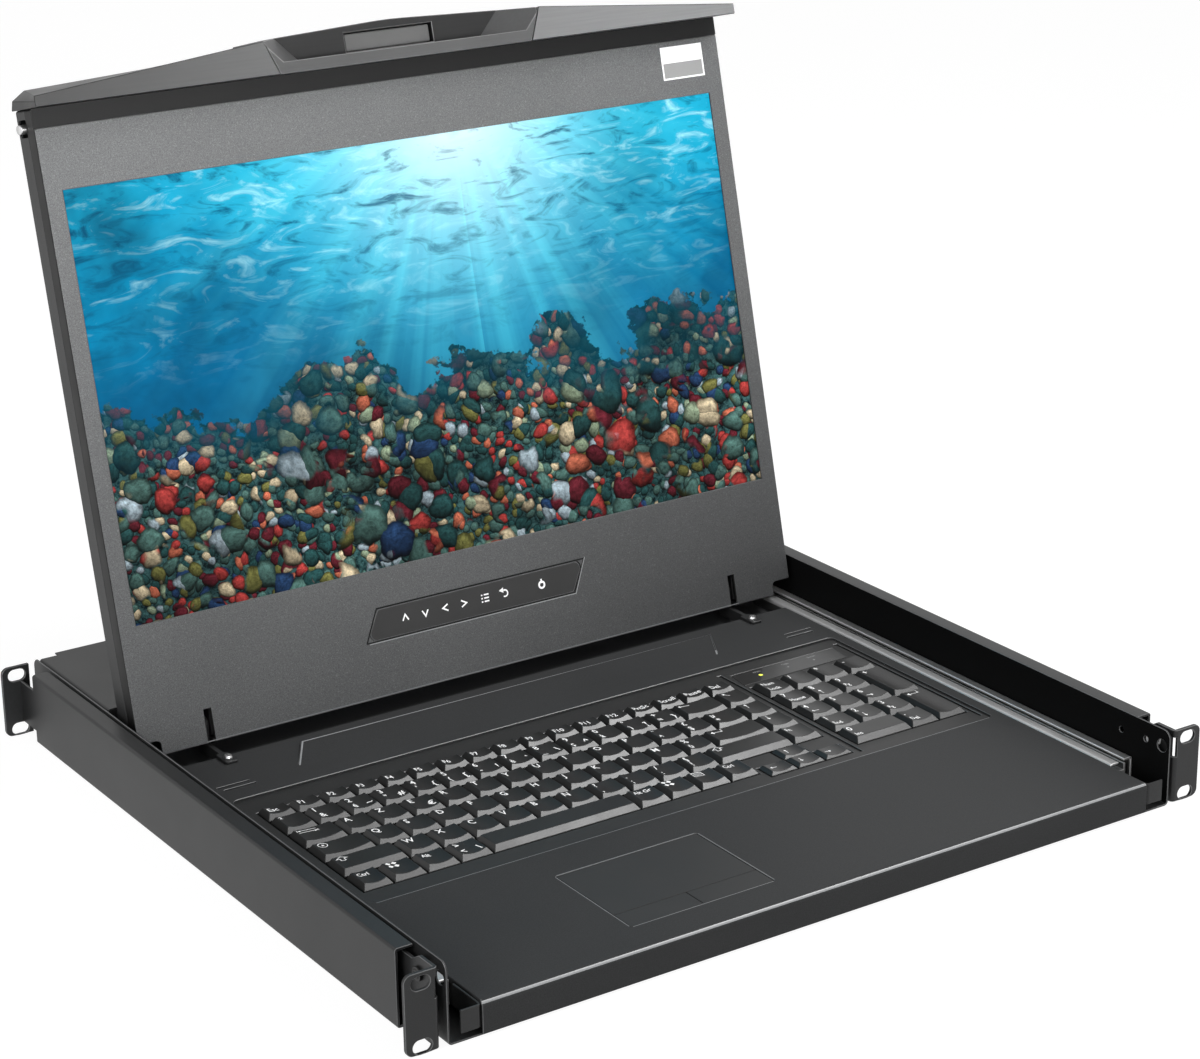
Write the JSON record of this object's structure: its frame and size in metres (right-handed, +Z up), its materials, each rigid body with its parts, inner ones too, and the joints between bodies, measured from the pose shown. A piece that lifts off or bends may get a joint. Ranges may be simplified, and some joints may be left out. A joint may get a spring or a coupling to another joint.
{
  "type": "rackmount console drawer",
  "caption": "Low sliding rack drawer with a keyboard, a touchpad and a hinged flat screen that folds down over them, latched by a bar in its grip.",
  "frame": {"origin": "middle of the four front rack slots, on the front face of the ears", "axes": "+X to the right as the user faces the drawer, +Y into the rack, +Z up"},
  "size_m": [0.4826, 0.449, 0.3787],
  "materials": {
    "chassis_paint": "fine textured powder coat, satin",
    "deck_paint": "fine textured powder coat, satin",
    "lid_paint": "fine textured coat, satin",
    "strip_paint": "smooth dark strip",
    "zinc": "bright zinc plate",
    "screw_steel": "plain steel",
    "ball_steel": "polished",
    "handle_metal": "brushed, dark anodised",
    "grip_metal": "brushed, dark anodised",
    "button_grey": "satin",
    "key_plastic": "fine matt texture",
    "frame_plastic": "fine matt texture",
    "membrane": "matt sheet",
    "pad_plastic": "matt film",
    "window_plastic": "smoked, smooth",
    "menu_plastic": "smooth",
    "screen_glass": "glossy",
    "panel": "lit display",
    "board_green": "solder mask",
    "supply_can": "plain sheet",
    "socket_black": "moulded",
    "port_nickel": "nickel plate"
  },
  "bodies": {
    "case": {"case_pan": "chassis_paint", "front_bracket_left": "chassis_paint", "front_bracket_right": "chassis_paint", "bracket_spacers": "zinc", "bracket_screws": "screw_steel", "slide_outer_pair": "zinc"},
    "rear_bracket_left": {"rear_bracket_left": "chassis_paint", "bracket_studs_left": "screw_steel"},
    "rear_bracket_right": {"rear_bracket_right": "chassis_paint", "bracket_studs_right": "screw_steel"},
    "drawer": {"slide_inner_pair": "zinc", "deck": "deck_paint", "tray_pan": "chassis_paint", "slide_end_tabs": "chassis_paint", "rear_cover": "chassis_paint", "control_board": "board_green", "power_supply": "supply_can", "power_inlet": "socket_black", "console_port": "port_nickel", "keyboard_frame": "frame_plastic", "led_window": "window_plastic", "keyboard_base": "membrane", "touchpad_plate": "pad_plastic", "touchpad_board": "board_green", "hinge_leaves": "screw_steel", "hinge_screws": "screw_steel"},
    "slide_middle_left": {"slide_middle_left": "zinc"},
    "slide_middle_right": {"slide_middle_right": "zinc"},
    "cage_outer_left": {"ball_cage_outer_left": "ball_steel"},
    "cage_outer_right": {"ball_cage_outer_right": "ball_steel"},
    "cage_inner_left": {"ball_cage_inner_left": "ball_steel"},
    "cage_inner_right": {"ball_cage_inner_right": "ball_steel"},
    "lid": {"hinge_pins": "screw_steel", "hinge_knuckles": "zinc", "lid_bezel": "lid_paint", "bezel_top_strip": "strip_paint", "menu_strip": "menu_plastic", "lid_back_shell": "lid_paint", "screen_glass": "screen_glass", "screen_module": "panel", "driver_board": "board_green", "handle_wing_left": "handle_metal", "handle_wing_right": "handle_metal", "handle_grip": "grip_metal", "latch_guides": "socket_black", "lid_screws": "screw_steel"},
    "release_button": {"release_button": "button_grey"},
    "latch_bolt_left": {"latch_bolt_left": "screw_steel"},
    "latch_bolt_right": {"latch_bolt_right": "screw_steel"},
    "touch_button_left": {"touch_button_left": "pad_plastic"},
    "touch_button_right": {"touch_button_right": "pad_plastic"},
    "function_keys": {"function_keys": "key_plastic"},
    "number_row_keys": {"number_row_keys": "key_plastic"},
    "upper_row_keys": {"upper_row_keys": "key_plastic"},
    "home_row_keys": {"home_row_keys": "key_plastic"},
    "lower_row_keys": {"lower_row_keys": "key_plastic"},
    "bottom_row_keys": {"bottom_row_keys": "key_plastic"},
    "space_bar": {"space_bar": "key_plastic"},
    "arrow_keys": {"arrow_keys": "key_plastic"},
    "number_pad_keys": {"number_pad_keys": "key_plastic"}
  },
  "joints": [
    {"name": "drawer_slide", "type": "slide", "parent": "case", "child": "drawer", "axis": [0, -1, 0], "range_m": [0, 0.4]},
    {"name": "slide_middle_left", "type": "slide", "parent": "case", "child": "slide_middle_left", "axis": [0, -1, 0], "range_m": [0, 0.2]},
    {"name": "cage_outer_left", "type": "slide", "parent": "case", "child": "cage_outer_left", "axis": [0, -1, 0], "range_m": [0, 0.1]},
    {"name": "cage_inner_left", "type": "slide", "parent": "case", "child": "cage_inner_left", "axis": [0, -1, 0], "range_m": [0, 0.3]},
    {"name": "rear_bracket_left", "type": "slide", "parent": "case", "child": "rear_bracket_left", "axis": [0, 1, 0], "range_m": [0, 0.18]},
    {"name": "slide_middle_right", "type": "slide", "parent": "case", "child": "slide_middle_right", "axis": [0, -1, 0], "range_m": [0, 0.2]},
    {"name": "cage_outer_right", "type": "slide", "parent": "case", "child": "cage_outer_right", "axis": [0, -1, 0], "range_m": [0, 0.1]},
    {"name": "cage_inner_right", "type": "slide", "parent": "case", "child": "cage_inner_right", "axis": [0, -1, 0], "range_m": [0, 0.3]},
    {"name": "rear_bracket_right", "type": "slide", "parent": "case", "child": "rear_bracket_right", "axis": [0, 1, 0], "range_m": [0, 0.18]},
    {"name": "lid_hinge", "type": "hinge", "parent": "drawer", "child": "lid", "pos_m": [0, 0.3302, 0.0091], "axis": [1, 0, 0], "range_deg": [-6.6, 103.39]},
    {"name": "release_button", "type": "slide", "parent": "lid", "child": "release_button", "axis": [0, 0.9728, -0.2316], "range_m": [-0.00128, 0.004], "stiffness_N_per_m": 900},
    {"name": "latch_bolt_left", "type": "slide", "parent": "lid", "child": "latch_bolt_left", "axis": [1, 0, 0], "range_m": [-0.0016, 0.005]},
    {"name": "latch_bolt_right", "type": "slide", "parent": "lid", "child": "latch_bolt_right", "axis": [-1, 0, 0], "range_m": [-0.0016, 0.005]},
    {"name": "touch_button_left", "type": "slide", "parent": "drawer", "child": "touch_button_left", "axis": [0, 0, -1], "range_m": [0, 0.0005], "stiffness_N_per_m": 600, "springref_m": -0.0003},
    {"name": "touch_button_right", "type": "slide", "parent": "drawer", "child": "touch_button_right", "axis": [0, 0, -1], "range_m": [0, 0.0005], "stiffness_N_per_m": 600, "springref_m": -0.0003},
    {"name": "function_keys", "type": "slide", "parent": "drawer", "child": "function_keys", "axis": [0, 0, -1], "range_m": [0, 0.0022], "stiffness_N_per_m": 1500, "springref_m": -0.0006},
    {"name": "number_row_keys", "type": "slide", "parent": "drawer", "child": "number_row_keys", "axis": [0, 0, -1], "range_m": [0, 0.0022], "stiffness_N_per_m": 1500, "springref_m": -0.0006},
    {"name": "upper_row_keys", "type": "slide", "parent": "drawer", "child": "upper_row_keys", "axis": [0, 0, -1], "range_m": [0, 0.0022], "stiffness_N_per_m": 1500, "springref_m": -0.0006},
    {"name": "home_row_keys", "type": "slide", "parent": "drawer", "child": "home_row_keys", "axis": [0, 0, -1], "range_m": [0, 0.0022], "stiffness_N_per_m": 1500, "springref_m": -0.0006},
    {"name": "lower_row_keys", "type": "slide", "parent": "drawer", "child": "lower_row_keys", "axis": [0, 0, -1], "range_m": [0, 0.0022], "stiffness_N_per_m": 1500, "springref_m": -0.0006},
    {"name": "bottom_row_keys", "type": "slide", "parent": "drawer", "child": "bottom_row_keys", "axis": [0, 0, -1], "range_m": [0, 0.0022], "stiffness_N_per_m": 1500, "springref_m": -0.0006},
    {"name": "space_bar", "type": "slide", "parent": "drawer", "child": "space_bar", "axis": [0, 0, -1], "range_m": [0, 0.0022], "stiffness_N_per_m": 1500, "springref_m": -0.0006},
    {"name": "arrow_keys", "type": "slide", "parent": "drawer", "child": "arrow_keys", "axis": [0, 0, -1], "range_m": [0, 0.0022], "stiffness_N_per_m": 1500, "springref_m": -0.0006},
    {"name": "number_pad_keys", "type": "slide", "parent": "drawer", "child": "number_pad_keys", "axis": [0, 0, -1], "range_m": [0, 0.0022], "stiffness_N_per_m": 1500, "springref_m": -0.0006}
  ],
  "couplings": [
    {"joint": "slide_middle_left", "follows": "drawer_slide", "ratio": 0.5},
    {"joint": "cage_outer_left", "follows": "drawer_slide", "ratio": 0.25},
    {"joint": "cage_inner_left", "follows": "drawer_slide", "ratio": 0.75},
    {"joint": "latch_bolt_left", "follows": "release_button", "ratio": 1.25},
    {"joint": "slide_middle_right", "follows": "drawer_slide", "ratio": 0.5},
    {"joint": "cage_outer_right", "follows": "drawer_slide", "ratio": 0.25},
    {"joint": "cage_inner_right", "follows": "drawer_slide", "ratio": 0.75},
    {"joint": "latch_bolt_right", "follows": "release_button", "ratio": 1.25}
  ]
}
